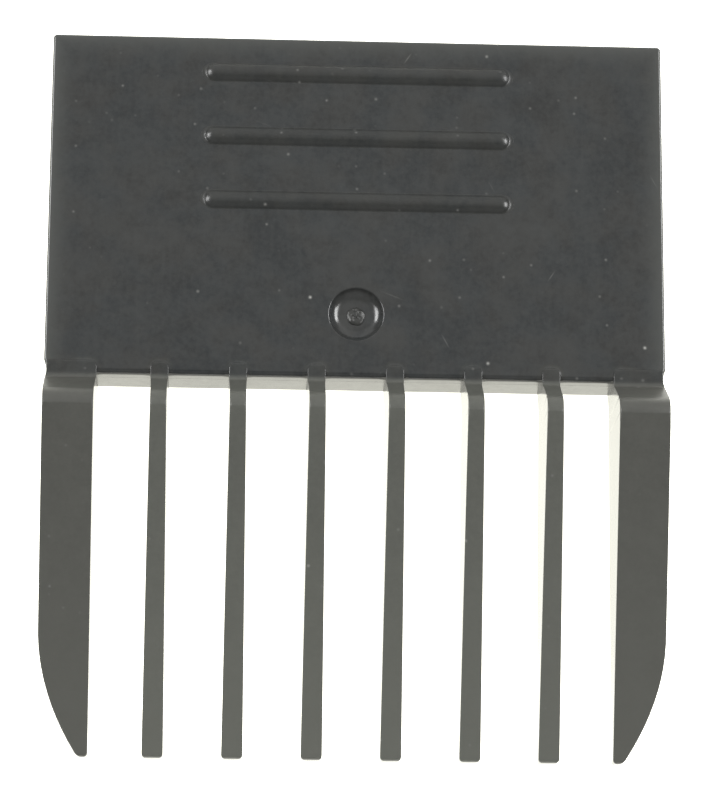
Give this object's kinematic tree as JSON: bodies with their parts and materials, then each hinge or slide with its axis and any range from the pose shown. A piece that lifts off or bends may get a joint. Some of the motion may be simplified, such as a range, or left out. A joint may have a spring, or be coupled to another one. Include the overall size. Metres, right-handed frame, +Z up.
{
  "type": "clipper guard comb",
  "caption": "Slide-on guard comb for a hair clipper: ribbed back plate with side rails and a rear snap catch, slender long teeth between two broad curved outer teeth.",
  "frame": {"origin": "centre of the bounding box at its base, on the plane that the rail feet and the tooth tips rest on", "axes": "+Z up, out of the ribbed outer face; +Y to the rear, where the clipper head slides in; the teeth point along -Y; +X to the right"},
  "size_m": [0.0464, 0.0546, 0.0084],
  "materials": {
    "shell": "black moulded plastic, satin gloss with faint flow mottling",
    "ribs": "black moulded plastic, satin gloss, slightly polished by thumbs",
    "teeth": "black moulded plastic, fine matte grain on top, smooth sides",
    "inside": "black moulded plastic, plain tool finish"
  },
  "bodies": {
    "comb": {"back_plate": "shell", "gate_mark": "shell", "grip_rib_rear": "ribs", "grip_rib_middle": "ribs", "grip_rib_front": "ribs", "outer_tooth_left": "teeth", "comb_tooth_1": "teeth", "comb_tooth_2": "teeth", "comb_tooth_3": "teeth", "comb_tooth_4": "teeth", "comb_tooth_5": "teeth", "comb_tooth_6": "teeth", "outer_tooth_right": "teeth", "front_wall": "inside", "guide_rail_left": "inside", "guide_rail_right": "inside", "rail_lip_left": "inside", "rail_lip_right": "inside", "head_stop_left": "inside", "head_stop_right": "inside"},
    "catch": {"catch_tab": "inside", "catch_hook": "inside"}
  },
  "joints": [
    {"name": "catch_flex", "type": "hinge", "parent": "comb", "child": "catch", "pos_m": [0, 0.02625, 0.0036], "axis": [1, 0, 0], "range_deg": [0, 10], "stiffness_Nm_per_rad": 0.05}
  ]
}
